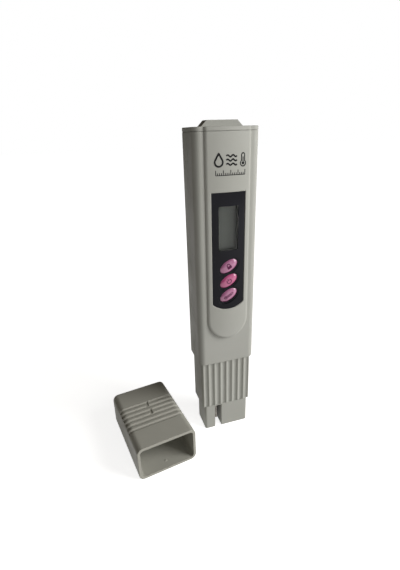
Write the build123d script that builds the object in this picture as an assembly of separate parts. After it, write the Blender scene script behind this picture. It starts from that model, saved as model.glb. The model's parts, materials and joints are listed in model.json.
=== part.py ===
"""Pen-type water tester with three buttons, its battery drawer and its pulled-off probe cap.

The meter stands upright on its probe end: +Z is up, its display faces -Y, and the origin is
on the floor, on the meter's own vertical axis. The probe cap lies beside it.
"""
from build123d import *
import math
import os

os.makedirs("parts", exist_ok=True)

# Housing
body_width = 30.4
body_depth = 18.4
body_top = 160.0
shoulder_z = 44.2
neck_foot_z = 15.6
front_corner_radius = 3.2
rear_corner_radius = 1.8
shell_wall = 1.6
lip_height = 1.2
lip_wall = 0.9
lip_clearance = 0.05
lip_top_gap = 10.0
shoulder_edge_radius = 0.35
seam_gap = 0.25
seam_inset = 0.3

# Raised centre of the front
tongue_width = 21.8
tongue_rise = 2.0
tongue_crown_radius = 48.0
tongue_edge_radius = 1.9
tongue_lift = 15.0

# Fluted neck that the probe cap slides over
cap_side_wall = 1.45
cap_face_wall = 1.4
cap_clearance = 0.1
cap_side_proud = 0.3
cap_face_proud = 0.5
neck_corner_radius = 1.8
neck_wall = 1.25
neck_side_wall = 1.6
flute_count = 8
flute_pitch = 3.38
flute_width = 2.9
flute_depth = 0.75

# Probe head with its two guards
head_side_step = 1.35
head_depth = 13.45
head_front_step = 0.35
head_corner_radius = 1.2
head_foot_radius = 0.4
slot_x = -4.87
slot_width = 3.92
slot_top = 15.0
spigot_length = 9.4
spigot_clearance = 0.05
well_wall = 1.3
well_depth = 5.0
seal_gap = 0.5

# Electrodes and temperature sensor
electrode_radius = 0.75
electrode_tip_radius = 0.45
electrode_foot_z = 3.0
front_electrode_y = -3.6
rear_electrode_y = 3.2
sensor_radius = 1.0
sensor_tip_radius = 0.8
sensor_y = -0.2
sensor_foot_z = 11.5
sensor_length = 9.0
pin_clearance = 0.05
lead_radius = 0.35
lead_lift = 3.0
lead_step = 1.0

# Front window, its black panel and the display lens
window_width = 16.2
window_drop = 26.8
window_side = 53.9
window_sag = 3.0
window_recess = 0.35
window_rim_radius = 0.3
panel_clearance = 0.06
panel_plate = 1.95
flange_reach = 1.1
flange_thickness = 1.0
flange_inset = 1.0
flange_clearance = 0.1
view_width = 9.6
view_height = 20.6
view_drop = 16.4
lens_clearance = 0.04
lens_flange_reach = 1.2
lens_flange_thickness = 0.55

# Buttons
button_count = 3
button_pitch = 7.49
button_drop = 34.7
button_x = 0.25
button_length = 9.7
button_width = 5.45
button_tilt = 31.0
button_clearance = 0.12
button_proud = 0.75
button_dome = 2.0
button_dome_spread = 1.12
button_flange_reach = 0.45
button_flange_thickness = 0.6
button_flange_gap = 0.05
button_stem_radius = 1.2
dish_length = 12.0
dish_width = 7.4
dish_depth = 0.5

# Circuit board and what sits on its front
board_front = -4.2
board_thickness = 1.2
board_side_gap = 1.4
board_top_gap = 3.1
board_shoulder_lift = 5.8
board_tail_width = 16.0
board_tail_drop = 18.2
glass_width = 16.0
glass_height = 26.5
glass_thickness = 1.9
glass_front = -7.8
rim_width = 1.5
rim_clearance = 0.05
rim_front_gap = 0.1
rubber_width = 1.6
rubber_margin = 0.4
switch_width = 4.6
switch_height = 3.4
switch_depth = 1.5
plunger_radius = 0.9
plunger_reach = 0.5
plunger_seat = 0.4
plunger_travel = 0.35
plunger_clearance = 0.05

# Rear of the board
blob_radius = 4.6
blob_height = 1.2
blob_edge_radius = 0.96
blob_rise = 22.0
blob_x = -2.0
crystal_radius = 1.0
crystal_length = 6.0
crystal_edge_radius = 0.25
crystal_x = 5.4
chip_size = (2.0, 0.55, 1.25)
chip_rows = 2
chip_columns = 4
chip_pitch_x = 4.0
chip_pitch_z = 2.5
trimmer_size = 6.6
trimmer_height = 3.4
trimmer_lift = 27.8
rotor_radius = 2.2
rotor_clearance = 0.05
rotor_height = 1.6
rotor_proud = 0.5
rotor_slot_width = 0.6
rotor_slot_length = 3.52
rotor_slot_depth = 0.7
access_radius = 1.5
access_rim_radius = 2.6
access_rim_depth = 0.3

# Screws that hold the board
screw_inset = 3.6
screw_above_window = 6.0
screw_lift = 21.8
screw_radius = 0.75
screw_hole_radius = 0.8
screw_length = 3.6
screw_head_radius = 1.6
screw_head_height = 1.1
screw_head_edge = 0.55
board_hole_radius = 1.0
boss_radius = 2.0
boss_root = 0.4
screw_slot_width = 0.5
screw_slot_depth = 0.5

# Battery drawer: cap, pocket clip, tray, cells and contacts
band_height = 1.9
plug_length = 7.0
plug_clearance = 0.12
plug_wall = 1.5
hump_base = 19.4
hump_top = 14.2
hump_depth = 5.6
hump_height = 2.65
hump_edge_radius = 0.5
hump_foot_radius = 1.3
band_edge_radius = 0.35
clip_width = 8.0
clip_thickness = 1.4
clip_gap = 1.4
clip_length = 36.0
clip_bump = 1.1
clip_bump_rise = 10.0
clip_flare = 0.84
clip_edge_radius = 0.35
tray_width = 14.6
tray_floor = 1.6
tray_back = 7.0
tray_front = 0.3
tray_tab_width = 12.0
tray_tab_depth = 1.9
tray_tab_root = 1.0
cell_radius = 5.8
cell_thickness = 5.4
cell_pitch = 12.5
cell_drop = 20.1
cell_clearance = 0.1
cell_rim_radius = 4.9
cell_rim_step = 0.25
bridge_thickness = 0.3
bridge_width = 4.0
bridge_margin = 0.1
leaf_thickness = 0.3
leaf_width = 4.0
leaf_length = 7.0
leaf_gap = 0.05
leaf_foot_lift = 0.42
leaf_tip = 1.0
rail_width = 1.0
rail_clearance = 0.3

# Probe cap, lying on the floor beside the meter
cap_end_wall = 1.5
cap_end_clearance = 0.4
cap_end_radius = 1.5
cap_rim_radius = 0.3
cap_mouth_x = -38.86
cap_mouth_y = -27.56
cap_turn = 9.04
groove_count = 6
groove_pitch = 3.32
first_ridge = 12.1
groove_radius = 1.3
groove_depth = 0.5
groove_wrap = 62.0
mark_x = 0.9
mark_width = 0.7
mark_gap = 1.6
detent_height = 0.25
detent_radius = 1.6
detent_from_mouth = 4.5

# How far cutting tools reach past a face, and how near an edge must lie to be found
overshoot = 1.0
near = 0.01

# Sizes that follow from the ones above
front_y = -body_depth / 2
rear_y = body_depth / 2
cap_width = body_width + 2 * cap_side_proud
cap_depth = body_depth + 2 * cap_face_proud
neck_width = cap_width - 2 * (cap_side_wall + cap_clearance)
neck_depth = cap_depth - 2 * (cap_face_wall + cap_clearance)
head_width = neck_width - 2 * head_side_step
head_front = -neck_depth / 2 + head_front_step
crest_y = front_y - tongue_rise
cavity_front = front_y + shell_wall
cavity_rear = rear_y - shell_wall
cavity_width = body_width - 2 * shell_wall
cavity_foot = shoulder_z + shell_wall
neck_cavity_width = neck_width - 2 * neck_side_wall
neck_cavity_depth = neck_depth - 2 * (flute_depth + neck_wall)
spigot_top = neck_foot_z + spigot_length
seam_z = body_top - band_height
plug_foot = seam_z - plug_length
tongue_foot_z = shoulder_z + tongue_lift
window_top = body_top - window_drop
window_corner_z = window_top - window_side
view_z = window_top - view_drop
button_z = window_top - button_drop
board_width = cavity_width - 2 * board_side_gap
board_top = plug_foot - board_top_gap
board_shoulder_z = shoulder_z + board_shoulder_lift
board_foot_z = shoulder_z - board_tail_drop
trimmer_z = shoulder_z + trimmer_lift
blob_z = trimmer_z + blob_rise
screw_x = cavity_width / 2 - screw_inset
screw_upper_z = window_top + screw_above_window
screw_lower_z = shoulder_z + screw_lift
cell_lower_z = plug_foot - cell_drop
tray_foot_z = cell_lower_z - cell_radius - tray_floor
panel_crest = crest_y + window_recess
panel_back = panel_crest + panel_plate
flange_back = panel_back + flange_thickness
board_rear = board_front + board_thickness
glass_back = glass_front + glass_thickness
switch_front = board_front - switch_depth
plunger_front = switch_front - plunger_reach
cell_front = 0.0
cell_back = cell_front + cell_thickness
cap_length = shoulder_z + cap_end_wall
button_centres = [button_z - n * button_pitch for n in range(button_count)]
cell_centres = [cell_lower_z, cell_lower_z + cell_pitch]


def save(shape, node):
    export_step(shape, "parts/" + node + ".step")


def box_between(x0, x1, y0, y1, z0, z1):
    block = Box(x1 - x0, y1 - y0, z1 - z0)
    return Pos((x0 + x1) / 2, (y0 + y1) / 2, (z0 + z1) / 2) * block


def plan_slab(width, y_front, y_back, z0, z1, r_front, r_back):
    """Upright prism with its own corner radius at the front and at the back."""
    middle = (y_front + y_back) / 2
    sketch = Pos(0, middle) * Rectangle(width, y_back - y_front)
    if r_front > 0:
        sketch = fillet(sketch.vertices().filter_by(lambda v: v.Y < middle), r_front)
    if r_back > 0:
        sketch = fillet(sketch.vertices().filter_by(lambda v: v.Y > middle), r_back)
    return Pos(0, 0, z0) * extrude(sketch, z1 - z0)


def front_view(sketch, y0, y1):
    """Extrude a sketch drawn as seen from the front (x, z) from y0 to y1."""
    face = Plane.XZ * sketch
    return Pos(0, y1, 0) * extrude(face, y1 - y0)


def crowned(y_crest, z0, z1, half_width, y_back):
    """Block whose front is part of a wide upright cylinder."""
    radius = tongue_crown_radius - (y_crest - crest_y)
    edge_y = y_crest + radius - math.sqrt(radius ** 2 - half_width ** 2)
    left = (-half_width, edge_y)
    right = (half_width, edge_y)
    outline = ThreePointArc(left, (0, y_crest), right)
    outline += Polyline(right, (half_width, y_back), (-half_width, y_back), left)
    return Pos(0, 0, z0) * extrude(make_face(outline), z1 - z0)


def window_outline(offset_by):
    """Front view of the window: straight sides and top, and a bowed lower edge."""
    half = window_width / 2
    arc = ThreePointArc((half, window_corner_z), (0, window_corner_z - window_sag), (-half, window_corner_z))
    sides = Polyline((-half, window_corner_z), (-half, window_top), (half, window_top), (half, window_corner_z))
    face = make_face(arc + sides)
    return offset(face, offset_by, kind=Kind.INTERSECTION) if offset_by else face


def tongue(z1):
    """Raised centre of the front, straight above and round at its lower end."""
    half = tongue_width / 2
    centre_z = tongue_foot_z + half
    outline = Pos(0, centre_z) * Circle(half)
    outline += Pos(0, (centre_z + z1) / 2) * Rectangle(tongue_width, z1 - centre_z)
    block = front_view(outline, crest_y - overshoot, 0)
    block = block & crowned(crest_y, tongue_foot_z - overshoot, z1 + overshoot, half + overshoot, 0)
    rim = block.edges().filter_by(lambda e: e.center().Y < front_y and e.center().Z < z1 - near)
    return fillet(rim, tongue_edge_radius)


def flutes(side):
    """Round vertical grooves across one face of the neck; side is -1 in front and 1 behind."""
    radius = ((flute_width / 2) ** 2 + flute_depth ** 2) / (2 * flute_depth)
    y = side * (neck_depth / 2 + radius - flute_depth)
    first = -(flute_count - 1) / 2 * flute_pitch
    tools = []
    for n in range(flute_count):
        rod = Cylinder(radius, shoulder_z - neck_foot_z)
        tools.append(Pos(first + n * flute_pitch, y, (shoulder_z + neck_foot_z) / 2) * rod)
    return Compound(tools)


def housing():
    """Wide body, raised centre and fluted neck as one hollow form, before it is split."""
    body = plan_slab(body_width, front_y, rear_y, shoulder_z, seam_z, front_corner_radius, rear_corner_radius)
    body = fillet(body.faces().sort_by(Axis.Z)[0].edges(), shoulder_edge_radius)
    neck = plan_slab(neck_width, -neck_depth / 2, neck_depth / 2, neck_foot_z, shoulder_z,
                     neck_corner_radius, neck_corner_radius)
    neck = neck - flutes(-1) - flutes(1)
    form = body + neck + tongue(seam_z)
    hollow = plan_slab(cavity_width, cavity_front, cavity_rear, cavity_foot, seam_z,
                       front_corner_radius - shell_wall, rear_corner_radius - shell_wall)
    neck_hollow = box_between(-neck_cavity_width / 2, neck_cavity_width / 2, -neck_cavity_depth / 2,
                              neck_cavity_depth / 2, neck_foot_z, cavity_foot)
    return form - hollow - neck_hollow


def window_rim(cover):
    """Front edges of the window opening, where the crowned face meets its walls."""
    half = window_width / 2

    def on_rim(edge):
        middle = edge.center()
        low = window_corner_z - window_sag
        inside = abs(middle.X) < half + near and low - near < middle.Z < window_top + near
        return inside and middle.Y < panel_crest + tongue_rise / 4 and edge.length > window_sag
    return cover.edges().filter_by(on_rim)


def screw_places():
    return [(x, z) for z in (screw_lower_z, screw_upper_z) for x in (-screw_x, screw_x)]


def rod_y(radius, x, z, y0, y1):
    """Round rod along the depth of the meter."""
    return Pos(x, (y0 + y1) / 2, z) * (Rot(90, 0, 0) * Cylinder(radius, y1 - y0))


def make_front_cover(shell):
    cover = shell & box_between(-body_width, body_width, crest_y - overshoot, 0, 0, body_top)
    cover -= front_view(window_outline(0), crest_y - overshoot, 0)
    cover = fillet(window_rim(cover), window_rim_radius)
    cover -= front_view(window_outline(flange_reach + flange_clearance), panel_back, cavity_front)
    for x, z in screw_places():
        cover += rod_y(boss_radius, x, z, cavity_front - boss_root, board_front)
        cover -= rod_y(screw_hole_radius, x, z, board_front - screw_length, board_front)
    return cover


def rear_lip():
    """Thin lip of the rear cover that enters the front cover along both sides."""
    half = cavity_width / 2 - lip_clearance
    z0 = cavity_foot + lip_clearance
    z1 = seam_z - lip_top_gap
    lips = box_between(half - lip_wall, half, -lip_height, shell_wall, z0, z1)
    lips += box_between(-half, -half + lip_wall, -lip_height, shell_wall, z0, z1)
    return lips


def side_webs():
    """Small webs that tie the lip to the rear cover's side walls."""
    half = cavity_width / 2
    z0 = cavity_foot
    z1 = seam_z - lip_top_gap
    webs = box_between(half - lip_clearance - lip_wall, half, 0, shell_wall, z0, z1)
    webs += box_between(-half, -half + lip_clearance + lip_wall, 0, shell_wall, z0, z1)
    return webs


def drawer_rails():
    """Pair of ribs inside the rear cover that guide the battery tray."""
    inner = tray_width / 2 + rail_clearance
    z0 = tray_foot_z
    rails = box_between(inner, inner + rail_width, tray_front, cavity_rear, z0, plug_foot - rail_clearance)
    rails += box_between(-inner - rail_width, -inner, tray_front, cavity_rear, z0, plug_foot - rail_clearance)
    return rails


def make_rear_cover(shell):
    cover = shell & box_between(-body_width, body_width, 0, body_depth, 0, body_top)
    cover += rear_lip() + side_webs() + drawer_rails()
    for side in (-1, 1):
        x0, x1 = sorted((side * body_width / 2, side * (body_width / 2 - seam_inset)))
        cover -= box_between(x0, x1, 0, seam_gap, shoulder_z, seam_z)
    cover -= rod_y(access_radius, 0, trimmer_z, 0, body_depth)
    cover -= rod_y(access_rim_radius, 0, trimmer_z, rear_y - access_rim_depth, body_depth)
    return cover


def electrode_places():
    return {"front_electrode": front_electrode_y, "rear_electrode": rear_electrode_y}


def make_probe_head():
    head = plan_slab(head_width, head_front, head_front + head_depth, 0, neck_foot_z,
                     head_corner_radius, head_corner_radius)
    head = fillet(head.faces().sort_by(Axis.Z)[0].edges(), head_foot_radius)
    spigot_width = neck_cavity_width - 2 * spigot_clearance
    spigot_depth = neck_cavity_depth - 2 * spigot_clearance
    head += box_between(-spigot_width / 2, spigot_width / 2, -spigot_depth / 2, spigot_depth / 2,
                        neck_foot_z, spigot_top)
    head -= box_between(slot_x - slot_width / 2, slot_x + slot_width / 2, -body_depth, body_depth, -overshoot, slot_top)
    head -= potting_space(spigot_top)
    for y in electrode_places().values():
        head -= Pos(slot_x, y, spigot_top / 2) * Cylinder(electrode_radius + pin_clearance, spigot_top)
    head -= Pos(slot_x, sensor_y, spigot_top / 2) * Cylinder(sensor_radius + pin_clearance, spigot_top)
    return head


def potting_space(top):
    half_width = neck_cavity_width / 2 - spigot_clearance - well_wall
    half_depth = neck_cavity_depth / 2 - spigot_clearance - well_wall
    return box_between(-half_width, half_width, -half_depth, half_depth, spigot_top - well_depth, top)


def make_electrode(y, top):
    rod = Pos(slot_x, y, (electrode_foot_z + top) / 2) * Cylinder(electrode_radius, top - electrode_foot_z)
    tip = rod.edges().sort_by(Axis.Z)[0]
    return fillet(tip, electrode_tip_radius)


def make_temperature_sensor():
    top = sensor_foot_z + sensor_length
    rod = Pos(slot_x, sensor_y, (sensor_foot_z + top) / 2) * Cylinder(sensor_radius, sensor_length)
    tip = rod.edges().sort_by(Axis.Z)[0]
    return fillet(tip, sensor_tip_radius)


def lead_z():
    return board_foot_z + lead_lift


def make_sensor_leads():
    """Stiff wires from the rear electrode and the temperature sensor to the board."""
    reach = board_rear
    electrode_top = lead_z() - lead_radius
    upper = rod_y(lead_radius, slot_x, lead_z(), reach, rear_electrode_y + lead_radius)
    riser_foot = sensor_foot_z + sensor_length
    riser_top = electrode_top - lead_step
    riser = Pos(slot_x, sensor_y, (riser_foot + riser_top) / 2) * Cylinder(lead_radius, riser_top - riser_foot)
    lower_z = riser_top - lead_radius
    lower = rod_y(lead_radius, slot_x, lower_z, reach, sensor_y)
    return Compound([upper, riser + lower])


def make_probe_seal():
    seal = potting_space(spigot_top - seal_gap)
    for y in electrode_places().values():
        seal -= Pos(slot_x, y, spigot_top) * Cylinder(electrode_radius + pin_clearance, 2 * well_depth)
    seal -= Pos(slot_x, sensor_y, spigot_top) * Cylinder(sensor_radius + pin_clearance, 2 * well_depth)
    return seal


def button_ellipse(length, width, z):
    return Pos(button_x, z) * (Rot(0, 0, button_tilt) * Ellipse(length / 2, width / 2))


def make_button_panel():
    panel = front_view(window_outline(-panel_clearance), crest_y - overshoot, panel_back)
    panel = panel & crowned(panel_crest, 0, body_top, window_width, panel_back)
    rim = window_outline(flange_reach) - window_outline(-flange_inset)
    panel += front_view(rim, panel_back, flange_back)
    panel -= view_cut(0, crest_y - overshoot, panel_back)
    for z in button_centres:
        dish = front_view(button_ellipse(dish_length, dish_width, z), crest_y - overshoot, panel_crest + dish_depth)
        hole = button_ellipse(button_length + 2 * button_clearance, button_width + 2 * button_clearance, z)
        panel = panel - dish - front_view(hole, crest_y - overshoot, panel_back)
    return panel


def view_cut(grow, y0, y1):
    outline = Pos(0, view_z) * Rectangle(view_width + 2 * grow, view_height + 2 * grow)
    return front_view(outline, y0, y1)


def make_display_lens():
    plug = view_cut(-lens_clearance, crest_y - overshoot, panel_back)
    plug = plug & crowned(panel_crest, 0, body_top, window_width, panel_back)
    return plug + view_cut(lens_flange_reach, panel_back, panel_back + lens_flange_thickness)


def make_button(z):
    """Oval dome on a flanged base with a stem that reaches the switch behind it."""
    crest = panel_crest + dish_depth - button_proud
    reach = button_dome_spread
    flange_front = panel_back + button_flange_gap
    prism = front_view(button_ellipse(button_length, button_width, z), crest - overshoot, flange_front)
    dome = scale(Sphere(1), by=(button_length / 2 * reach, button_dome, button_width / 2 * reach))
    dome = Pos(button_x, crest + button_dome, z) * (Rot(0, -button_tilt, 0) * dome)
    base = front_view(button_ellipse(button_length, button_width, z), crest + button_dome, flange_front)
    cap = (prism & dome) + base
    flange = button_ellipse(button_length + 2 * button_flange_reach, button_width + 2 * button_flange_reach, z)
    cap += front_view(flange, flange_front, flange_front + button_flange_thickness)
    return cap + rod_y(button_stem_radius, button_x, z, flange_front, plunger_front)


def make_switch(z):
    body = box_between(button_x - switch_width / 2, button_x + switch_width / 2, switch_front, board_front,
                       z - switch_height / 2, z + switch_height / 2)
    depth = plunger_seat + plunger_travel + plunger_clearance
    return body - rod_y(plunger_radius + plunger_clearance, button_x, z, switch_front, switch_front + depth)


def make_plunger(z):
    return rod_y(plunger_radius, button_x, z, plunger_front, switch_front + plunger_seat)


def make_circuit_board():
    board = box_between(-board_width / 2, board_width / 2, board_front, board_rear, board_shoulder_z, board_top)
    board += box_between(-board_tail_width / 2, board_tail_width / 2, board_front, board_rear,
                         board_foot_z, board_shoulder_z)
    for x, z in screw_places():
        board -= rod_y(board_hole_radius, x, z, board_front, board_rear)
    return board


def make_lcd_glass():
    """Two bonded glass plates; the front one leaves a ledge for the contacts."""
    z0 = view_z - glass_height / 2
    z1 = view_z + glass_height / 2
    half = glass_width / 2
    middle = glass_front + glass_thickness / 2
    front = box_between(-half, half, glass_front, middle, z0, z1)
    ledge = rubber_width + 2 * rubber_margin
    return front + box_between(-half, half, middle, glass_back, z0 + ledge, z1 - ledge)


def make_lcd_rim():
    """Frame that holds the glass and its rubber contacts against the board."""
    half = glass_width / 2 + rim_clearance
    z0 = view_z - glass_height / 2 - rim_clearance
    z1 = view_z + glass_height / 2 + rim_clearance
    front = cavity_front + rim_front_gap
    rim = box_between(-half - rim_width, half + rim_width, front, board_front, z0 - rim_width, z1 + rim_width)
    return rim - box_between(-half, half, front, board_front, z0, z1)


def make_contact_rubber(end):
    """Striped rubber bar between the glass ledge and the board; end is -1 below and 1 above."""
    z = view_z + end * (glass_height / 2 - rubber_margin - rubber_width / 2)
    half = glass_width / 2 - rubber_margin
    middle = glass_front + glass_thickness / 2
    return box_between(-half, half, middle, board_front, z - rubber_width / 2, z + rubber_width / 2)


def make_controller_blob():
    blob = rod_y(blob_radius, blob_x, blob_z, board_rear, board_rear + blob_height)
    return fillet(blob.edges().sort_by(Axis.Y)[-1], blob_edge_radius)


def make_crystal():
    body = Pos(crystal_x, board_rear + crystal_radius, blob_z) * Cylinder(crystal_radius, crystal_length)
    return fillet(body.edges(), crystal_edge_radius)


def make_board_components():
    """Chip resistors and capacitors in two short rows below the controller."""
    chips = []
    width, height, length = chip_size
    for row in range(chip_rows):
        for n in range(chip_columns):
            x = (n - (chip_columns - 1) / 2) * chip_pitch_x
            z = blob_z - blob_radius - (2 + row) * chip_pitch_z
            chips.append(box_between(x - width / 2, x + width / 2, board_rear, board_rear + height,
                                     z - length / 2, z + length / 2))
    return Compound(chips)


def make_trimmer():
    half = trimmer_size / 2
    top = board_rear + trimmer_height
    body = box_between(-half, half, board_rear, top, trimmer_z - half, trimmer_z + half)
    return body - rod_y(rotor_radius + rotor_clearance, 0, trimmer_z, top - rotor_height, top)


def make_trimmer_screw():
    top = board_rear + trimmer_height
    rotor = rod_y(rotor_radius, 0, trimmer_z, top - rotor_height, top + rotor_proud)
    face = top + rotor_proud
    slot = box_between(-rotor_slot_length / 2, rotor_slot_length / 2, face - rotor_slot_depth, face,
                       trimmer_z - rotor_slot_width / 2, trimmer_z + rotor_slot_width / 2)
    cross = Pos(0, 0, trimmer_z) * (Rot(0, 90, 0) * (Pos(0, 0, -trimmer_z) * slot))
    return rotor - slot - cross


def make_board_screws():
    screws = []
    for x, z in screw_places():
        head_top = board_rear + screw_head_height
        screw = rod_y(screw_radius, x, z, board_rear - screw_length, board_rear)
        head = rod_y(screw_head_radius, x, z, board_rear, head_top)
        head = fillet(head.edges().sort_by(Axis.Y)[-1], screw_head_edge)
        slot = box_between(x - screw_head_radius, x + screw_head_radius, head_top - screw_slot_depth, head_top,
                           z - screw_slot_width / 2, z + screw_slot_width / 2)
        screws.append(screw + head - slot)
    return Compound(screws)


def pocket_clip():
    """Springy clip from the hump over the rear edge and down the back."""
    inner = rear_y + clip_gap
    outer = inner + clip_thickness
    top = body_top + hump_height
    foot = top - clip_length
    bump_z = foot + clip_bump_rise / 2
    tip = outer + clip_flare
    outline = Polyline(
        (0, body_top), (rear_y, body_top), (inner, body_top - clip_gap), (inner, foot + clip_bump_rise),
        (inner - clip_bump, bump_z), (tip - clip_thickness / 2, foot), (tip, foot),
        (outer, bump_z), (outer, top - 2 * clip_thickness), (outer - 2 * clip_thickness, top), (0, top), (0, body_top))
    side = make_face(Plane.YZ * outline)
    clip = Pos(-clip_width / 2, 0, 0) * extrude(side, clip_width, dir=(1, 0, 0))
    long_edges = clip.edges().filter_by(lambda e: abs(abs(e.center().X) - clip_width / 2) < near
                                        and e.center().Y > inner + clip_thickness / 2)
    return fillet(long_edges, clip_edge_radius)


def hump():
    """Low block on the band whose slanted ends run into the band with a round foot."""
    outline = Polyline((-hump_base / 2, body_top), (hump_base / 2, body_top),
                       (hump_top / 2, body_top + hump_height), (-hump_top / 2, body_top + hump_height),
                       (-hump_base / 2, body_top))
    root = Pos(0, body_top - band_height / 2) * Rectangle(hump_base + 4 * hump_foot_radius, band_height)
    profile = make_face(outline) + root
    feet = profile.vertices().filter_by(lambda v: abs(v.Y - body_top) < near and abs(v.X) < hump_base / 2 + near)
    profile = fillet(feet, hump_foot_radius)
    tops = profile.vertices().filter_by(lambda v: v.Y > body_top + hump_height - near)
    profile = fillet(tops, hump_edge_radius)
    return front_view(profile, -hump_depth / 2, hump_depth / 2)


def cap_band():
    """Outer band of the battery cap, with a narrow groove between it and the housing."""
    band = plan_slab(body_width, front_y, rear_y, seam_z + seam_gap, body_top, front_corner_radius, rear_corner_radius)
    top_slice = box_between(-body_width, body_width, crest_y - overshoot, 0, seam_z + seam_gap, body_top)
    band += tongue(body_top) & top_slice
    band = fillet(band.faces().sort_by(Axis.Z)[-1].edges(), band_edge_radius)
    inner_width = body_width - 2 * seam_inset
    foot = plan_slab(inner_width, front_y + seam_inset, rear_y - seam_inset, seam_z, seam_z + seam_gap,
                     front_corner_radius - seam_inset, rear_corner_radius - seam_inset)
    foot_slice = box_between(-tongue_width / 2 + seam_inset, tongue_width / 2 - seam_inset, crest_y - overshoot, 0,
                             seam_z, seam_z + seam_gap)
    return band + foot + (Pos(0, seam_inset, 0) * tongue(body_top) & foot_slice)


def make_battery_cap():
    """Top cap that pulls out with the tray: band, hump, pocket clip and plug."""
    half = cavity_width / 2 - plug_clearance
    front = cavity_front + plug_clearance
    rear = cavity_rear - plug_clearance
    plug = plan_slab(2 * half, front, rear, plug_foot, seam_z, front_corner_radius - shell_wall, 0)
    plug -= box_between(-half + plug_wall, half - plug_wall, front + plug_wall, rear - plug_wall, plug_foot, seam_z)
    return cap_band() + plug + hump() + pocket_clip()


def make_battery_tray():
    half = tray_width / 2
    tray = box_between(-half, half, tray_front, tray_back, tray_foot_z, plug_foot)
    tab_back = cavity_rear - plug_clearance - plug_wall
    tab = box_between(-tray_tab_width / 2, tray_tab_width / 2, tab_back - tray_tab_depth, tab_back,
                      plug_foot - tray_tab_root, seam_z)
    tray += tab
    for z in cell_centres:
        tray -= rod_y(cell_radius + cell_clearance, 0, z, -overshoot, cell_back)
    z0, z1 = bridge_span()
    return tray - box_between(-bridge_width / 2 - bridge_margin, bridge_width / 2 + bridge_margin,
                              cell_back, cell_back + bridge_thickness, z0 - bridge_margin, z1 + bridge_margin)


def bridge_span():
    return cell_centres[0] - cell_radius / 2, cell_centres[1] + cell_radius / 2


def make_cell_bridge():
    z0, z1 = bridge_span()
    return box_between(-bridge_width / 2, bridge_width / 2, cell_back, cell_back + bridge_thickness, z0, z1)


def make_cell(z, face_side):
    """Button cell with its narrower negative cap; face_side is -1 when that cap faces the front."""
    cell = rod_y(cell_radius, 0, z, cell_front, cell_back)
    if face_side < 0:
        ring = rod_y(cell_radius, 0, z, cell_front, cell_front + cell_rim_step)
        ring -= rod_y(cell_rim_radius, 0, z, cell_front, cell_front + cell_rim_step)
    else:
        ring = rod_y(cell_radius, 0, z, cell_back - cell_rim_step, cell_back)
        ring -= rod_y(cell_rim_radius, 0, z, cell_back - cell_rim_step, cell_back)
    return cell - ring


def make_leaf_contact(z):
    """Bent leaf: flat foot on the board and a springy arm up to the cell's face."""
    foot_z = z - leaf_length / 2
    tip_z = z + leaf_length / 2
    tip_y = cell_front - leaf_gap
    t = leaf_thickness
    tip_foot = tip_z - leaf_tip
    outline = Polyline((board_rear, foot_z), (board_rear, z - leaf_tip), (board_rear + t, z - leaf_tip),
                       (board_rear + t, foot_z + leaf_foot_lift), (tip_y - t, tip_foot), (tip_y - t, tip_z),
                       (tip_y, tip_z), (tip_y, tip_foot), (board_rear + 2 * t, foot_z), (board_rear, foot_z))
    side = make_face(Plane.YZ * outline)
    return Pos(-leaf_width / 2, 0, 0) * extrude(side, leaf_width, dir=(1, 0, 0))


def groove_tool(side, z, keep_bar):
    """Round groove across one face of the cap and over its corners."""
    reach = groove_radius - groove_depth
    half_x = cap_width / 2 + reach
    y = side * (cap_depth / 2 + reach)
    radius = front_corner_radius + reach
    turn = math.radians(groove_wrap)
    inner_x = half_x - radius
    inner_y = y - side * radius
    ends = (inner_x + radius * math.sin(turn), inner_y + side * radius * math.cos(turn))
    middle = (inner_x + radius * math.sin(turn / 2), inner_y + side * radius * math.cos(turn / 2))
    path = ThreePointArc((-ends[0], ends[1], z), (-middle[0], middle[1], z), (-inner_x, y, z))
    path += Line((-inner_x, y, z), (inner_x, y, z))
    path += ThreePointArc((inner_x, y, z), (middle[0], middle[1], z), (ends[0], ends[1], z))
    wire = Wire(path.edges())
    section = Plane(origin=wire @ 0, z_dir=wire % 0) * Circle(groove_radius)
    tool = sweep(section, path=wire)
    if keep_bar:
        tool -= box_between(mark_x - mark_width / 2, mark_x + mark_width / 2, min(y, 0), max(y, 0),
                            z - groove_pitch / 2, z + groove_pitch / 2)
    return tool


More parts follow.
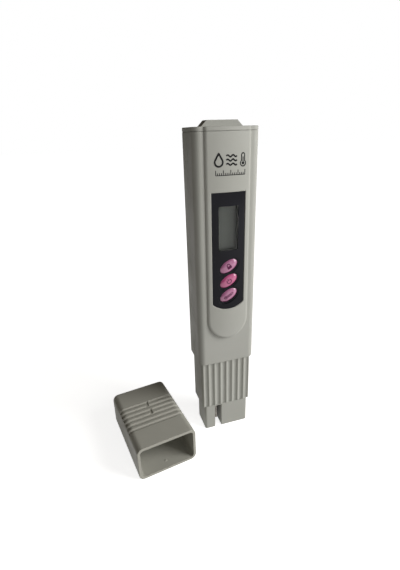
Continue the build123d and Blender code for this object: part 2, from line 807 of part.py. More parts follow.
def make_probe_cap():
    """Cap modelled as worn, mouth up at the shoulder, and then laid on the floor."""
    mouth = shoulder_z
    foot = mouth - cap_length
    cap = plan_slab(cap_width, -cap_depth / 2, cap_depth / 2, foot, mouth, front_corner_radius, front_corner_radius)
    cap = fillet(cap.faces().sort_by(Axis.Z)[0].edges(), cap_end_radius)
    cap = fillet(cap.faces().sort_by(Axis.Z)[-1].edges(), cap_rim_radius)
    half = cap_width / 2 - cap_side_wall
    face_y = cap_depth / 2 - cap_face_wall
    hollow = plan_slab(2 * half, -face_y, face_y, foot + cap_end_wall - cap_end_clearance, mouth,
                       neck_corner_radius, neck_corner_radius)
    cap -= hollow
    first = mouth - first_ridge - groove_pitch / 2
    for side in (-1, 1):
        for n in range(groove_count):
            marked = n in (groove_count - 1, groove_count - 3)
            z = first - n * groove_pitch
            cap -= groove_tool(side, z, marked)
            if marked:
                y_face = side * cap_depth / 2
                y_cut = y_face - side * groove_depth
                ridge = z + groove_pitch / 2
                cap -= box_between(mark_x - mark_width / 2 - mark_gap, mark_x - mark_width / 2,
                                   min(y_face, y_cut), max(y_face, y_cut),
                                   ridge - groove_pitch / 3, ridge + groove_pitch / 3)
    depth = detent_radius - detent_height
    ball = Pos(0, -face_y - depth, mouth - detent_from_mouth) * Sphere(detent_radius)
    cap += ball & box_between(-half, half, -face_y - cap_face_wall / 2, 0, foot, mouth)
    turn = math.radians(cap_turn)
    lie = Plane(origin=(cap_mouth_x, cap_mouth_y, cap_depth / 2),
                x_dir=(math.cos(turn), math.sin(turn), 0), z_dir=(math.sin(turn), -math.cos(turn), 0))
    return lie * (Pos(0, 0, -mouth) * cap)


shell = housing()
save(make_front_cover(shell), "front_cover")
save(make_rear_cover(shell), "rear_cover")
save(make_probe_head(), "probe_head")
save(make_electrode(front_electrode_y, board_foot_z), "front_electrode")
save(make_electrode(rear_electrode_y, lead_z() - lead_radius), "rear_electrode")
save(make_temperature_sensor(), "temperature_sensor")
save(make_sensor_leads(), "sensor_leads")
save(make_probe_seal(), "probe_seal")
save(make_button_panel(), "button_panel")
save(make_display_lens(), "display_lens")
for name, z in zip(("hold", "power", "temperature"), button_centres):
    save(make_button(z), name + "_button")
    save(make_switch(z), name + "_switch")
    save(make_plunger(z), name + "_plunger")
save(make_circuit_board(), "circuit_board")
save(make_lcd_glass(), "lcd_glass")
save(make_lcd_rim(), "lcd_rim")
save(make_contact_rubber(1), "upper_contact_rubber")
save(make_contact_rubber(-1), "lower_contact_rubber")
save(make_controller_blob(), "controller_blob")
save(make_crystal(), "crystal")
save(make_board_components(), "board_components")
save(make_trimmer(), "trimmer_body")
save(make_trimmer_screw(), "trimmer_screw")
save(make_board_screws(), "board_screws")
save(make_battery_cap(), "battery_cap")
save(make_battery_tray(), "battery_tray")
save(make_cell_bridge(), "cell_bridge")
save(make_cell(cell_centres[0], -1), "lower_cell")
save(make_cell(cell_centres[1], 1), "upper_cell")
save(make_leaf_contact(cell_centres[0]), "negative_contact")
save(make_leaf_contact(cell_centres[1]), "positive_contact")
save(make_probe_cap(), "probe_cap")
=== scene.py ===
# Pen water tester with its pulled-off cap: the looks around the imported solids.
# Metres, Z up, the display faces -Y.
import json
import math
import bmesh
import bpy
from mathutils import Matrix, Vector
from mathutils.bvhtree import BVHTree


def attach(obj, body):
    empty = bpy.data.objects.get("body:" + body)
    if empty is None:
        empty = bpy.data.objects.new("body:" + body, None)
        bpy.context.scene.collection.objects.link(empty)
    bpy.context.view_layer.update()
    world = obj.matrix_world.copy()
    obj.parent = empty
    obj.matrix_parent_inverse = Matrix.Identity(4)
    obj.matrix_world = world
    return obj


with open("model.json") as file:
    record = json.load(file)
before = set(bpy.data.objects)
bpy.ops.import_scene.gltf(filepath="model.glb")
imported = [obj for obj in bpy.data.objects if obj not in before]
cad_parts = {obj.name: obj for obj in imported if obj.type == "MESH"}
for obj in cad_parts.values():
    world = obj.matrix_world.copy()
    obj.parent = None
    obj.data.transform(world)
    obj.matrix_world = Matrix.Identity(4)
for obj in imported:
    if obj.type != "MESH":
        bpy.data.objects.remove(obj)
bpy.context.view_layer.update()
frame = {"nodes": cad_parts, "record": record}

nodes = frame["nodes"]
mm = 0.001
print("solids loaded:", len(nodes))


# Camera

camera = {
    "place": (-0.06113, -0.16375, 0.15771),
    "azimuth": -16.95,      # degrees left of the meter's front
    "elevation": 22.56,
    "roll": -1.67,
    "lens": 23.14,
    "sensor": 36.0,
    "near": 0.01,
    "far": 20.0,
}


def makeCamera(v):
    a, e, r = (math.radians(v[k]) for k in ("azimuth", "elevation", "roll"))
    back = Vector((math.sin(a) * math.cos(e), -math.cos(a) * math.cos(e), math.sin(e)))
    side = (-back).cross(Vector((0, 0, 1))).normalized()
    up = side.cross(-back)
    xAxis = side * math.cos(r) + up * math.sin(r)
    yAxis = up * math.cos(r) - side * math.sin(r)
    data = bpy.data.cameras.new("photoCamera")
    data.lens = v["lens"]
    data.sensor_width = v["sensor"]
    data.clip_start = v["near"]
    data.clip_end = v["far"]
    holder = bpy.data.objects.new("photoCamera", data)
    turn = Matrix((xAxis, yAxis, back)).transposed().to_4x4()
    holder.matrix_world = Matrix.Translation(v["place"]) @ turn
    bpy.context.scene.collection.objects.link(holder)
    bpy.context.scene.camera = holder


makeCamera(camera)
print("camera set")


# Light: a large soft window to the right, a weak front fill and a dim room

studio = {
    "keyPlace": (0.5, -0.34, 0.37),
    "keySize": (0.36, 0.5),
    "keyPower": 4.4,
    "keyColour": (1.0, 0.995, 0.985),
    "fillPlace": (0.1, -0.8, 0.3),
    "fillSize": (0.5, 0.5),
    "fillPower": 1.0,
    "fillColour": (0.98, 0.99, 1.0),
    "aim": (-0.005, 0.0, 0.075),
    "roomColour": (0.078, 0.069, 0.058),
    "floorColour": (0.8, 0.8, 0.79),
    "floorGlow": (0.82, 1.0),       # near and far from the object, for camera, mirror and glass rays only
    "glowSpan": (0.16, 0.42),
    "floorHalf": 4.0,
}


def makeLamp(name, v, kind):
    # kind is the first word of the lamp's own values
    place = v[kind + "Place"]
    data = bpy.data.lights.new(name, "AREA")
    data.shape = "RECTANGLE"
    data.size, data.size_y = v[kind + "Size"]
    data.energy = v[kind + "Power"]
    data.color = v[kind + "Colour"]
    lamp = bpy.data.objects.new(name, data)
    lamp.location = place
    lamp.rotation_mode = "QUATERNION"
    lamp.rotation_quaternion = (Vector(v["aim"]) - Vector(place)).to_track_quat("-Z", "Y")
    bpy.context.scene.collection.objects.link(lamp)


def seenDirectly(tree):
    # 1 for rays from the camera, off a gloss or through glass
    path = tree.nodes.new("ShaderNodeLightPath")
    first = tree.nodes.new("ShaderNodeMath")
    first.operation = "MAXIMUM"
    second = tree.nodes.new("ShaderNodeMath")
    second.operation = "MAXIMUM"
    tree.links.new(path.outputs["Is Camera Ray"], first.inputs[0])
    tree.links.new(path.outputs["Is Glossy Ray"], first.inputs[1])
    tree.links.new(first.outputs[0], second.inputs[0])
    tree.links.new(path.outputs["Is Transmission Ray"], second.inputs[1])
    return second.outputs[0]


def makeWorld(v):
    world = bpy.data.worlds.new("room")
    world.use_nodes = True
    tree = world.node_tree
    shade = tree.nodes["Background"]
    shade.inputs["Color"].default_value = (*v["roomColour"], 1)
    shade.inputs["Strength"].default_value = 1.0
    white = tree.nodes.new("ShaderNodeBackground")
    white.inputs["Color"].default_value = (1, 1, 1, 1)
    mix = tree.nodes.new("ShaderNodeMixShader")
    path = tree.nodes.new("ShaderNodeLightPath")
    tree.links.new(path.outputs["Is Camera Ray"], mix.inputs[0])
    tree.links.new(shade.outputs[0], mix.inputs[1])
    tree.links.new(white.outputs[0], mix.inputs[2])
    tree.links.new(mix.outputs[0], tree.nodes["World Output"].inputs["Surface"])
    bpy.context.scene.world = world


def makeFloor(v):
    mesh = bpy.data.meshes.new("floor")
    form = bmesh.new()
    bmesh.ops.create_grid(form, x_segments=2, y_segments=2, size=v["floorHalf"])
    form.to_mesh(mesh)
    form.free()
    floor = bpy.data.objects.new("floor", mesh)
    bpy.context.scene.collection.objects.link(floor)
    finish = bpy.data.materials.new("floorPaper")
    finish.use_nodes = True
    tree = finish.node_tree
    tree.nodes.clear()
    lit = tree.nodes.new("ShaderNodeBsdfDiffuse")
    lit.inputs["Color"].default_value = (*v["floorColour"], 1)
    glow = tree.nodes.new("ShaderNodeEmission")
    place = tree.nodes.new("ShaderNodeTexCoord")
    away = tree.nodes.new("ShaderNodeVectorMath")
    away.operation = "LENGTH"
    tree.links.new(place.outputs["Object"], away.inputs[0])
    spread = tree.nodes.new("ShaderNodeMapRange")
    spread.interpolation_type = "SMOOTHSTEP"
    for key, value in zip(("From Min", "From Max", "To Min", "To Max"), v["glowSpan"] + v["floorGlow"]):
        spread.inputs[key].default_value = value
    tree.links.new(away.outputs["Value"], spread.inputs["Value"])
    scale = tree.nodes.new("ShaderNodeMath")
    scale.operation = "MULTIPLY"
    tree.links.new(seenDirectly(tree), scale.inputs[0])
    tree.links.new(spread.outputs["Result"], scale.inputs[1])
    tree.links.new(scale.outputs[0], glow.inputs["Strength"])
    both = tree.nodes.new("ShaderNodeAddShader")
    out = tree.nodes.new("ShaderNodeOutputMaterial")
    tree.links.new(lit.outputs[0], both.inputs[0])
    tree.links.new(glow.outputs[0], both.inputs[1])
    tree.links.new(both.outputs[0], out.inputs["Surface"])
    mesh.materials.append(finish)


makeLamp("windowLight", studio, "key")
makeLamp("frontFill", studio, "fill")
makeWorld(studio)
makeFloor(studio)
bpy.context.scene.view_settings.view_transform = "Standard"
print("light and floor set")


# Shared effects, as node groups

def startGroup(name, inputs, outputs):
    group = bpy.data.node_groups.new(name, "ShaderNodeTree")
    for label, kind, value in inputs:
        socket = group.interface.new_socket(label, in_out="INPUT", socket_type=kind)
        socket.default_value = value
    for label, kind in outputs:
        group.interface.new_socket(label, in_out="OUTPUT", socket_type=kind)
    return group, group.nodes.new("NodeGroupInput"), group.nodes.new("NodeGroupOutput")


def addNode(tree, kind, settings=None, values=None, wires=None):
    node = tree.nodes.new(kind)
    for key, value in (settings or {}).items():
        setattr(node, key, value)
    for key, value in (values or {}).items():
        node.inputs[key].default_value = value
    for key, source in (wires or {}).items():
        tree.links.new(source, node.inputs[key])
    return node


def rangeNode(tree, source, low, high, toLow, toHigh):
    # the last two may be numbers or sockets
    values = {"From Min": low, "From Max": high}
    wires = {"Value": source}
    for key, given in (("To Min", toLow), ("To Max", toHigh)):
        if isinstance(given, bpy.types.NodeSocket):
            wires[key] = given
        else:
            values[key] = given
    return addNode(tree, "ShaderNodeMapRange", {}, values, wires).outputs["Result"]


def makeMouldGrain():
    # fine spark-eroded grain of a moulded face: a height, and a mask of its pits
    group, given, out = startGroup("mouldGrain", [("Grains per metre", "NodeSocketFloat", 3000.0),
                                                  ("Unevenness", "NodeSocketFloat", 0.3)],
                                   [("Height", "NodeSocketFloat"), ("Pits", "NodeSocketFloat")])
    place = addNode(group, "ShaderNodeTexCoord").outputs["Object"]
    grain = addNode(group, "ShaderNodeTexNoise", {}, {"Detail": 2.0, "Roughness": 0.6},
                    {"Vector": place, "Scale": given.outputs["Grains per metre"]})
    swell = addNode(group, "ShaderNodeTexNoise", {}, {"Scale": 90.0, "Detail": 1.0}, {"Vector": place})
    part = addNode(group, "ShaderNodeMath", {"operation": "MULTIPLY"}, {},
                   {0: swell.outputs["Fac"], 1: given.outputs["Unevenness"]})
    total = addNode(group, "ShaderNodeMath", {"operation": "ADD"}, {},
                    {0: grain.outputs["Fac"], 1: part.outputs[0]})
    group.links.new(total.outputs[0], out.inputs["Height"])
    group.links.new(rangeNode(group, grain.outputs["Fac"], 0.42, 0.3, 0.0, 1.0), out.inputs["Pits"])
    return group


def makeHandledFinish():
    # roughness that drifts where fingers and cloths have been
    group, given, out = startGroup("handledFinish", [("Smoothest", "NodeSocketFloat", 0.3),
                                                     ("Roughest", "NodeSocketFloat", 0.5),
                                                     ("Patches per metre", "NodeSocketFloat", 60.0)],
                                   [("Roughness", "NodeSocketFloat"), ("Smudge", "NodeSocketFloat")])
    place = addNode(group, "ShaderNodeTexCoord").outputs["Object"]
    patches = addNode(group, "ShaderNodeTexNoise", {},
                      {"Detail": 4.0, "Roughness": 0.62, "Distortion": 0.4},
                      {"Vector": place, "Scale": given.outputs["Patches per metre"]})
    group.links.new(rangeNode(group, patches.outputs["Fac"], 0.3, 0.72, given.outputs["Smoothest"],
                              given.outputs["Roughest"]), out.inputs["Roughness"])
    group.links.new(rangeNode(group, patches.outputs["Fac"], 0.5, 0.7, 0.0, 1.0), out.inputs["Smudge"])
    return group


def makeTintDrift():
    # slow change of shade over a moulded or cast piece
    group, given, out = startGroup("tintDrift", [("Colour", "NodeSocketColor", (0.5, 0.5, 0.5, 1)),
                                                 ("Second colour", "NodeSocketColor", (0.5, 0.5, 0.5, 1)),
                                                 ("Patches per metre", "NodeSocketFloat", 25.0)],
                                   [("Colour", "NodeSocketColor")])
    place = addNode(group, "ShaderNodeTexCoord").outputs["Object"]
    drift = addNode(group, "ShaderNodeTexNoise", {}, {"Detail": 3.0, "Roughness": 0.55},
                    {"Vector": place, "Scale": given.outputs["Patches per metre"]})
    mix = addNode(group, "ShaderNodeMix", {"data_type": "RGBA"}, {},
                  {0: rangeNode(group, drift.outputs["Fac"], 0.35, 0.65, 0.0, 1.0),
                   6: given.outputs["Colour"], 7: given.outputs["Second colour"]})
    group.links.new(mix.outputs[2], out.inputs["Colour"])
    return group


def makeEdgeRoundingAndHighlight():
    # softened edges: the rounded normal, and a mask of the edge itself, along which the plastics paint a
    # lighter highlight
    group, given, out = startGroup("edgeRoundingAndHighlight", [("Radius", "NodeSocketFloat", 0.00015)],
                                   [("Mask", "NodeSocketFloat"), ("Normal", "NodeSocketVector")])
    soft = addNode(group, "ShaderNodeBevel", {"samples": 6}, {}, {"Radius": given.outputs["Radius"]})
    face = addNode(group, "ShaderNodeNewGeometry")
    same = addNode(group, "ShaderNodeVectorMath", {"operation": "DOT_PRODUCT"}, {},
                   {0: soft.outputs["Normal"], 1: face.outputs["Normal"]})
    group.links.new(rangeNode(group, same.outputs["Value"], 0.995, 0.85, 0.0, 1.0), out.inputs["Mask"])
    group.links.new(soft.outputs["Normal"], out.inputs["Normal"])
    return group


def makeDustSpecks():
    # stray specks of dust on a gloss face
    group, given, out = startGroup("dustSpecks", [("Specks per metre", "NodeSocketFloat", 900.0),
                                                  ("Speck size", "NodeSocketFloat", 0.09)],
                                   [("Mask", "NodeSocketFloat")])
    place = addNode(group, "ShaderNodeTexCoord").outputs["Object"]
    cells = addNode(group, "ShaderNodeTexVoronoi", {}, {"Randomness": 1.0},
                    {"Vector": place, "Scale": given.outputs["Specks per metre"]})
    pick = addNode(group, "ShaderNodeSeparateColor", {}, {}, {"Color": cells.outputs["Color"]})
    near = addNode(group, "ShaderNodeMath", {"operation": "LESS_THAN"}, {},
                   {0: cells.outputs["Distance"], 1: given.outputs["Speck size"]})
    some = addNode(group, "ShaderNodeMath", {"operation": "GREATER_THAN"}, {1: 0.8},
                   {0: pick.outputs["Red"]})
    both = addNode(group, "ShaderNodeMath", {"operation": "MULTIPLY"}, {},
                   {0: near.outputs[0], 1: some.outputs[0]})
    group.links.new(both.outputs[0], out.inputs["Mask"])
    return group


mouldGrain = makeMouldGrain()
handledFinish = makeHandledFinish()
tintDrift = makeTintDrift()
edgeRoundingAndHighlight = makeEdgeRoundingAndHighlight()
dustSpecks = makeDustSpecks()
print("shared effects built")


# Finishes

def startFinish(name, constants):
    finish = bpy.data.materials.new(name)
    finish.use_nodes = True
    tree = finish.node_tree
    shader = tree.nodes["Principled BSDF"]
    for key, value in constants.items():
        shader.inputs[key].default_value = value
    return finish, tree, shader


def useGroup(tree, group, values=None, wires=None):
    node = tree.nodes.new("ShaderNodeGroup")
    node.node_tree = group
    for key, value in (values or {}).items():
        node.inputs[key].default_value = value
    for key, source in (wires or {}).items():
        tree.links.new(source, node.inputs[key])
    return node


def rgba(colour):
    return (*colour, 1.0)


def mixColours(tree, amount, first, second):
    values = {7: rgba(second)}
    return addNode(tree, "ShaderNodeMix", {"data_type": "RGBA"}, values, {0: amount, 6: first}).outputs[2]


def scaled(tree, source, factor):
    return addNode(tree, "ShaderNodeMath", {"operation": "MULTIPLY"}, {1: factor}, {0: source}).outputs[0]


# Moulded plastics: housing, cap, panel, buttons, inner pieces

# The edge colour, laid along every edge through the edge mask, is a painted highlight.
housingPlastic = {"colour": (0.44, 0.442, 0.41), "second": (0.415, 0.417, 0.38),
                  "edge": (0.54, 0.535, 0.48), "edgeHighlightShare": 0.35, "edgeRadius": 0.00022,
                  "pit": (0.36, 0.35, 0.30), "pitShare": 0.25, "grains": 2600.0, "uneven": 0.35,
                  "bump": 0.16, "height": 0.00004, "smooth": 0.42, "rough": 0.58,
                  "patches": 45.0, "specular": 0.16}
# the cap is the housing's plastic, painted a little darker and warmer: a painted shade for the cap lying in
# the meter's shadow
capPlasticPaintedShade = dict(housingPlastic, colour=(0.435, 0.43, 0.38), second=(0.405, 0.40, 0.35),
                  edge=(0.50, 0.49, 0.43), rough=0.56)
panelPlastic = {"colour": (0.006, 0.006, 0.009), "second": (0.009, 0.009, 0.013),
                "edge": (0.03, 0.03, 0.034), "edgeHighlightShare": 0.4, "edgeRadius": 0.00012,
                "pit": (0.02, 0.02, 0.02), "pitShare": 0.1, "grains": 700.0, "uneven": 1.0,
                "bump": 0.02, "height": 0.00003, "smooth": 0.07, "rough": 0.2,
                "patches": 120.0, "specular": 0.1, "dust": 0.3}
innerPlastic = dict(panelPlastic, colour=(0.03, 0.03, 0.032), second=(0.04, 0.04, 0.042),
                    edge=(0.08, 0.08, 0.08), smooth=0.45, rough=0.65, grains=2200.0, bump=0.12, dust=0.0)
buttonPlastic = {"colour": (0.47, 0.17, 0.31), "second": (0.43, 0.15, 0.29), "edge": (0.60, 0.33, 0.47),
                 "edgeHighlightShare": 0.5, "edgeRadius": 0.00025, "pit": (0.36, 0.11, 0.24), "pitShare": 0.1,
                 "grains": 900.0, "uneven": 1.0, "bump": 0.03, "height": 0.00003,
                 "smooth": 0.16, "rough": 0.28, "patches": 160.0, "specular": 0.5, "coat": 0.5}
dustColour = (0.25, 0.25, 0.25)


def mouldedPlastic(name, v):
    finish, tree, shader = startFinish(name, {"Specular IOR Level": v["specular"],
                                              "Coat Weight": v.get("coat", 0.0),
                                              "Coat Roughness": 0.08})
    grain = useGroup(tree, mouldGrain, {"Grains per metre": v["grains"], "Unevenness": v["uneven"]})
    drift = useGroup(tree, tintDrift, {"Colour": rgba(v["colour"]), "Second colour": rgba(v["second"])})
    edge = useGroup(tree, edgeRoundingAndHighlight, {"Radius": v["edgeRadius"]})
    touched = useGroup(tree, handledFinish, {"Smoothest": v["smooth"], "Roughest": v["rough"],
                                             "Patches per metre": v["patches"]})
    # the grain's pits are mixed toward the pit colour: a darker tone on the housing, cap, buttons and inner
    # pieces, painted shade in the pits; a slightly lighter one on the black panel and the ink
    pitted = scaled(tree, grain.outputs["Pits"], v["pitShare"])
    colour = mixColours(tree, pitted, drift.outputs["Colour"], v["pit"])
    # painted highlight: every edge of the piece mixed toward the lighter edge colour
    colour = mixColours(tree, scaled(tree, edge.outputs["Mask"], v["edgeHighlightShare"]), colour, v["edge"])
    if v.get("dust"):
        specks = useGroup(tree, dustSpecks)
        colour = mixColours(tree, scaled(tree, specks.outputs["Mask"], v["dust"]), colour, dustColour)
    bump = addNode(tree, "ShaderNodeBump", {}, {"Strength": v["bump"], "Distance": v["height"]},
                   {"Height": grain.outputs["Height"], "Normal": edge.outputs["Normal"]})
    tree.links.new(colour, shader.inputs["Base Color"])
    tree.links.new(touched.outputs["Roughness"], shader.inputs["Roughness"])
    tree.links.new(bump.outputs["Normal"], shader.inputs["Normal"])
    return finish


# Metals: electrodes, contacts, cells, screws

electrodeMetal = {"colour": (0.42, 0.40, 0.37), "second": (0.33, 0.31, 0.28), "smooth": 0.22, "rough": 0.42,
                  "patches": 400.0, "grains": 4000.0, "uneven": 0.2, "bump": 0.08, "height": 0.00002,
                  "edgeRadius": 0.00008}
contactMetal = dict(electrodeMetal, colour=(0.78, 0.62, 0.34), second=(0.70, 0.55, 0.30), smooth=0.18,
                    rough=0.34, patches=300.0, grains=3000.0, bump=0.05)
cellSteel = dict(electrodeMetal, colour=(0.66, 0.66, 0.64), second=(0.58, 0.58, 0.56), smooth=0.16,
                 rough=0.32, patches=220.0, grains=5000.0, bump=0.04)
screwSteel = dict(electrodeMetal, colour=(0.55, 0.55, 0.54), second=(0.45, 0.45, 0.44), smooth=0.25,
                  rough=0.45, patches=500.0)


def drawnMetal(name, v):
    finish, tree, shader = startFinish(name, {"Metallic": 1.0})
    grain = useGroup(tree, mouldGrain, {"Grains per metre": v["grains"], "Unevenness": v["uneven"]})
    drift = useGroup(tree, tintDrift, {"Colour": rgba(v["colour"]), "Second colour": rgba(v["second"]),
                                       "Patches per metre": v["patches"]})
    touched = useGroup(tree, handledFinish, {"Smoothest": v["smooth"], "Roughest": v["rough"],
                                             "Patches per metre": v["patches"]})
    edge = useGroup(tree, edgeRoundingAndHighlight, {"Radius": v["edgeRadius"]})
    bump = addNode(tree, "ShaderNodeBump", {}, {"Strength": v["bump"], "Distance": v["height"]},
                   {"Height": grain.outputs["Height"], "Normal": edge.outputs["Normal"]})
    tree.links.new(drift.outputs["Colour"], shader.inputs["Base Color"])
    tree.links.new(touched.outputs["Roughness"], shader.inputs["Roughness"])
    tree.links.new(bump.outputs["Normal"], shader.inputs["Normal"])
    return finish


# Window glass and display

lensGlass = {"colour": (0.012, 0.014, 0.013), "second": (0.02, 0.022, 0.02), "alpha": 0.3, "smooth": 0.03,
             "rough": 0.1, "patches": 140.0}
displayGlass = {"colour": (0.19, 0.215, 0.18), "second": (0.165, 0.19, 0.16), "clouds": 60.0, "smooth": 0.12,
                "rough": 0.2, "patches": 90.0}


def smokedLens(name, v):
    finish, tree, shader = startFinish(name, {"Alpha": v["alpha"], "Specular IOR Level": 0.5})
    touched = useGroup(tree, handledFinish, {"Smoothest": v["smooth"], "Roughest": v["rough"],
                                             "Patches per metre": v["patches"]})
    drift = useGroup(tree, tintDrift, {"Colour": rgba(v["colour"]), "Second colour": rgba(v["second"])})
    tree.links.new(drift.outputs["Colour"], shader.inputs["Base Color"])
    tree.links.new(touched.outputs["Roughness"], shader.inputs["Roughness"])
    return finish


def displayCell(name, v):
    finish, tree, shader = startFinish(name, {"Specular IOR Level": 0.5, "Coat Weight": 0.4,
                                              "Coat Roughness": 0.05})
    drift = useGroup(tree, tintDrift, {"Colour": rgba(v["colour"]), "Second colour": rgba(v["second"]),
                                       "Patches per metre": v["clouds"]})
    touched = useGroup(tree, handledFinish, {"Smoothest": v["smooth"], "Roughest": v["rough"],
                                             "Patches per metre": v["patches"]})
    tree.links.new(drift.outputs["Colour"], shader.inputs["Base Color"])
    tree.links.new(touched.outputs["Roughness"], shader.inputs["Roughness"])
    return finish


# Which finish each slot takes

boardGreen = dict(innerPlastic, colour=(0.012, 0.10, 0.045), second=(0.016, 0.12, 0.055),
                  edge=(0.16, 0.15, 0.08), smooth=0.22, rough=0.38, grains=1500.0, bump=0.05)
resin = dict(innerPlastic, colour=(0.02, 0.02, 0.022), second=(0.03, 0.028, 0.028), smooth=0.15, rough=0.35)
stripedRubber = dict(innerPlastic, colour=(0.30, 0.26, 0.25), second=(0.24, 0.20, 0.20),
                     edge=(0.35, 0.3, 0.3), smooth=0.6, rough=0.8)
chipCeramic = dict(innerPlastic, colour=(0.22, 0.16, 0.11), second=(0.28, 0.21, 0.14),
                   edge=(0.6, 0.6, 0.6), smooth=0.4, rough=0.6)
trimmerBlue = dict(innerPlastic, colour=(0.02, 0.06, 0.30), second=(0.025, 0.07, 0.34),
                   edge=(0.08, 0.13, 0.42), smooth=0.3, rough=0.45)

finishes = {
    "housing_plastic": mouldedPlastic("housingPlastic", housingPlastic),
    "cap_plastic": mouldedPlastic("capPlasticPaintedShade", capPlasticPaintedShade),
    "panel_plastic": mouldedPlastic("panelPlastic", panelPlastic),
    "button_plastic": mouldedPlastic("buttonPlastic", buttonPlastic),
    "inner_plastic": mouldedPlastic("innerPlastic", innerPlastic),
    "board": mouldedPlastic("boardGreen", boardGreen),
    "epoxy": mouldedPlastic("resin", resin),
    "contact_rubber": mouldedPlastic("stripedRubber", stripedRubber),
    "chip_ceramic": mouldedPlastic("chipCeramic", chipCeramic),
    "trimmer_plastic": mouldedPlastic("trimmerBlue", trimmerBlue),
    "electrode_metal": drawnMetal("electrodeMetal", electrodeMetal),
    "contact_metal": drawnMetal("contactMetal", contactMetal),
    "cell_steel": drawnMetal("cellSteel", cellSteel),
    "screw_steel": drawnMetal("screwSteel", screwSteel),
    "lens": smokedLens("smokedLens", lensGlass),
    "lcd_glass": displayCell("displayCell", displayGlass),
}
powerButton = dict(buttonPlastic, colour=(0.55, 0.10, 0.25), second=(0.50, 0.09, 0.23))

for part in frame["record"]["subparts"]:
    nodes[part["node"]].material_slots[0].material = finishes[part["material_slot"]]
nodes["power_button"].material_slots[0].material = mouldedPlastic("powerButtonPlastic", powerButton)
print("finishes set:", len(finishes) + 1)


# Printed marks: thin closed inlays that follow the surface under them

# In mm: above and below the surface, between points, and where the search for the surface starts
ink = {"lift": 0.03, "sink": 0.03, "step": 0.22, "ahead": 100.0}
printInk = dict(panelPlastic, colour=(0.012, 0.012, 0.013), second=(0.02, 0.02, 0.021),
                edge=(0.02, 0.02, 0.02), smooth=0.35, rough=0.5, grains=6000.0, bump=0.05, dust=0.0)
plumInk = dict(printInk, colour=(0.085, 0.012, 0.05), second=(0.11, 0.018, 0.065), edge=(0.1, 0.02, 0.06))
inkFinish = mouldedPlastic("printInk", printInk)
plumFinish = mouldedPlastic("plumInk", plumInk)


def surfaceOf(node):
    mesh = nodes[node].data
    return BVHTree.FromPolygons([v.co for v in mesh.vertices], [tuple(f.vertices) for f in mesh.polygons])


def onSurface(surface, x, z, rise):
    # point of the front surface at x, z in mm, raised by rise mm
    start = Vector((x * mm, -ink["ahead"] * mm, z * mm))
    spot, normal, _, _ = surface.ray_cast(start, Vector((0, 1, 0)))
    if normal.y > 0:
        normal = -normal
    return spot + normal * rise * mm


def evenSteps(points, closed):
    # the path's corners, with more points between them
    loop = points + points[:1] if closed else points
    path = []
    for a, b in zip(loop, loop[1:]):
        count = max(1, math.ceil(math.dist(a, b) / ink["step"]))
        path += [(a[0] + (b[0] - a[0]) * n / count, a[1] + (b[1] - a[1]) * n / count) for n in range(count)]
    return path if closed else path + [points[-1]]


def addStroke(form, surface, place, points, width, closed=False):
    # a ribbon of ink along a path; place turns the mark's own u, v into x, z
    path = evenSteps(points, closed)
    count = len(path)
    rows = []
    for n, (u, v) in enumerate(path):
        before = path[(n - 1) % count] if closed or n else path[n]
        after = path[(n + 1) % count] if closed or n < count - 1 else path[n]
        length = math.dist(before, after)
        du, dv = (after[0] - before[0]) / length, (after[1] - before[1]) / length
        row = []
        for rise in (ink["lift"], -ink["sink"]):
            for across in (-0.5, 0.0, 0.5):
                x, z = place(u - dv * across * width, v + du * across * width)
                row.append(form.verts.new(onSurface(surface, x, z, rise)))
        rows.append(row)
    pairs = list(zip(rows, rows[1:] + rows[:1])) if closed else list(zip(rows, rows[1:]))
    for a, b in pairs:
        for k in (0, 1):
            form.faces.new((a[k], a[k + 1], b[k + 1], b[k]))
            form.faces.new((a[k + 3], b[k + 3], b[k + 4], a[k + 4]))
        form.faces.new((a[0], b[0], b[3], a[3]))
        form.faces.new((a[2], a[5], b[5], b[2]))
    if not closed:
        for end in (rows[0], rows[-1]):
            form.faces.new((end[0], end[1], end[4], end[3]))
            form.faces.new((end[1], end[2], end[5], end[4]))


def addPatch(form, surface, place, centre, outline):
    # a filled spot of ink inside an outline round its centre
    count = len(outline)
    layers = []
    for rise in (ink["lift"], -ink["sink"]):
        middle = form.verts.new(onSurface(surface, *place(*centre), rise))
        rings = []
        for share in (0.5, 1.0):
            ring = []
            for u, v in outline:
                x, z = place(centre[0] + (u - centre[0]) * share, centre[1] + (v - centre[1]) * share)
                ring.append(form.verts.new(onSurface(surface, x, z, rise)))
            rings.append(ring)
        layers.append((middle, rings))
    for middle, (inner, outer) in layers:
        for n in range(count):
            m = (n + 1) % count
            form.faces.new((middle, inner[n], inner[m]))
            form.faces.new((inner[n], outer[n], outer[m], inner[m]))
    top, bottom = layers[0][1][1], layers[1][1][1]
    for n in range(count):
        m = (n + 1) % count
        form.faces.new((top[n], bottom[n], bottom[m], top[m]))


def arc(centre, radius, start, stop, count):
    turns = [math.radians(start + (stop - start) * n / count) for n in range(count + 1)]
    return [(centre[0] + radius * math.cos(t), centre[1] + radius * math.sin(t)) for t in turns]


def circle(centre, radius, count):
    return arc(centre, radius, 0, 360, count)[:-1]


def finishMarks(name, form, body, finish):
    bmesh.ops.recalc_face_normals(form, faces=form.faces)
    mesh = bpy.data.meshes.new(name)
    form.to_mesh(mesh)
    form.free()
    mesh.materials.append(finish)
    marks = bpy.data.objects.new(name, mesh)
    bpy.context.scene.collection.objects.link(marks)
    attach(marks, body)


# Marks above the window: a drop, three waves and a thermometer over a fine scale

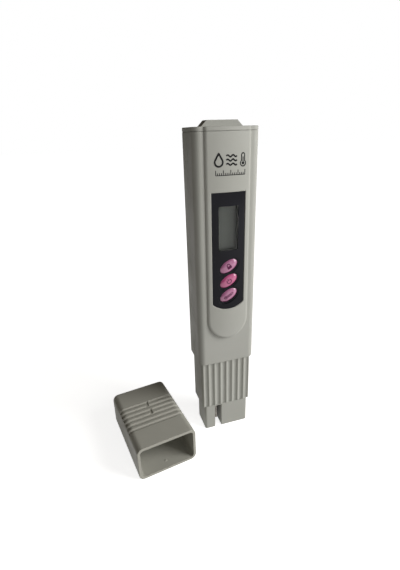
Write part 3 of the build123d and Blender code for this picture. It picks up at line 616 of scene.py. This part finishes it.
titleMarks = {
    "dropAt": (-4.7, 145.9), "dropRadius": 1.75, "dropHeight": 3.55, "dropStroke": 0.78, "dropPoints": 24,
    "waveFrom": -1.35, "waveTo": 3.55, "waveRise": 0.38, "waveStroke": 0.66,
    "waveTurns": 2, "wavePoints": 28, "waveHeights": (148.35, 146.65, 144.95),
    "bulbAt": (6.5, 145.2), "bulb": 1.25, "tubeWidth": 1.5, "tubeTop": 149.3, "tubeStroke": 0.5,
    "column": 0.45,
    "scaleFrom": -6.1, "scaleTo": 7.5, "scaleZ": 140.5, "ticks": 17, "tick": 1.0, "longTick": 2.1,
    "every": 4, "scaleStroke": 0.34,
}
thermometerShape = {"fill": 0.52, "bulbPoints": 22, "topPoints": 10, "fillPoints": 20}


def thermometer(form, surface, place, v):
    # bulb below, tube to the top, both along the mark's own v
    shape = thermometerShape
    (cu, cv), bulb, width, top = v["bulbAt"], v["bulb"], v["tubeWidth"], v["tubeTop"]
    half = width / 2
    lean = math.degrees(math.asin(half / bulb))
    outline = arc((cu, cv), bulb, 90 + lean, 450 - lean, shape["bulbPoints"])
    outline += arc((cu, top - half), half, 0, 180, shape["topPoints"])
    addStroke(form, surface, place, outline, v["tubeStroke"], closed=True)
    spot = circle((cu, cv), bulb * shape["fill"], shape["fillPoints"])
    addPatch(form, surface, place, (cu, cv), spot)
    addStroke(form, surface, place, [(cu, cv), (cu, top - width)], v["column"])


def makeTitleMarks(v):
    surface = surfaceOf("front_cover")
    form = bmesh.new()

    def place(u, w):
        return u, w
    cu, cv = v["dropAt"]
    radius, tip = v["dropRadius"], v["dropHeight"]
    lean = math.degrees(math.asin(radius / tip))
    drop = arc((cu, cv), radius, 180 - lean, 360 + lean, v["dropPoints"]) + [(cu, cv + tip)]
    addStroke(form, surface, place, drop, v["dropStroke"], closed=True)
    span, count = v["waveTo"] - v["waveFrom"], v["wavePoints"]
    for height in v["waveHeights"]:
        wave = []
        for n in range(count + 1):
            rise = v["waveRise"] * math.sin(2 * v["waveTurns"] * math.pi * n / count)
            wave.append((v["waveFrom"] + span * n / count, height + rise))
        addStroke(form, surface, place, wave, v["waveStroke"])
    thermometer(form, surface, place, v)
    low = v["scaleZ"]
    addStroke(form, surface, place, [(v["scaleFrom"], low), (v["scaleTo"], low)], v["scaleStroke"])
    for n in range(v["ticks"]):
        x = v["scaleFrom"] + (v["scaleTo"] - v["scaleFrom"]) * n / (v["ticks"] - 1)
        tall = v["longTick"] if n % v["every"] == 0 else v["tick"]
        addStroke(form, surface, place, [(x, low), (x, low + tall)], v["scaleStroke"])
    finishMarks("titleMarks", form, "meter", inkFinish)


# Marks on the buttons: a padlock, a power sign and a thermometer, turned with each oval

buttonMarks = {
    "tilt": 31.0, "centreX": 0.25, "centres": {"hold": 98.5, "power": 91.01, "temperature": 83.52},
    "lockWidth": 2.3, "lockLow": -1.131, "lockHigh": 0.319, "shackle": 0.72, "shackleRise": 0.35,
    "shacklePoints": 12, "lockStroke": 0.42,
    "ring": 1.12, "ringGap": 38.0, "ringPoints": 24, "barFrom": 0.2, "barTo": 1.37, "ringStroke": 0.42,
    "bulbAt": (0, -1.9), "bulb": 0.78, "tubeWidth": 0.85, "tubeTop": 2.4, "tubeStroke": 0.3, "column": 0.26,
}


def makeButtonMarks(v):
    turn = math.radians(v["tilt"])
    for key, centreZ in v["centres"].items():
        surface = surfaceOf(key + "_button")
        form = bmesh.new()

        def place(u, w):
            return (v["centreX"] + u * math.cos(turn) - w * math.sin(turn),
                    centreZ + u * math.sin(turn) + w * math.cos(turn))
        if key == "hold":
            half, low, high = v["lockWidth"] / 2, v["lockLow"], v["lockHigh"]
            corners = [(-half, low), (half, low), (half, high), (-half, high)]
            addPatch(form, surface, place, (0, (low + high) / 2), evenSteps(corners, True))
            radius = v["shackle"]
            bow = arc((0, high + v["shackleRise"]), radius, 0, 180, v["shacklePoints"])
            addStroke(form, surface, place, [(radius, high)] + bow + [(-radius, high)], v["lockStroke"])
        elif key == "power":
            ring = arc((0, 0), v["ring"], 90 + v["ringGap"], 450 - v["ringGap"], v["ringPoints"])
            addStroke(form, surface, place, ring, v["ringStroke"])
            addStroke(form, surface, place, [(0, v["barFrom"]), (0, v["barTo"])], v["ringStroke"])
        else:
            def lying(u, w):
                return place(w, -u)
            thermometer(form, surface, lying, v)
        finishMarks(key + "Mark", form, key + "_button", plumFinish)


makeTitleMarks(titleMarks)
makeButtonMarks(buttonMarks)
print("marks printed")
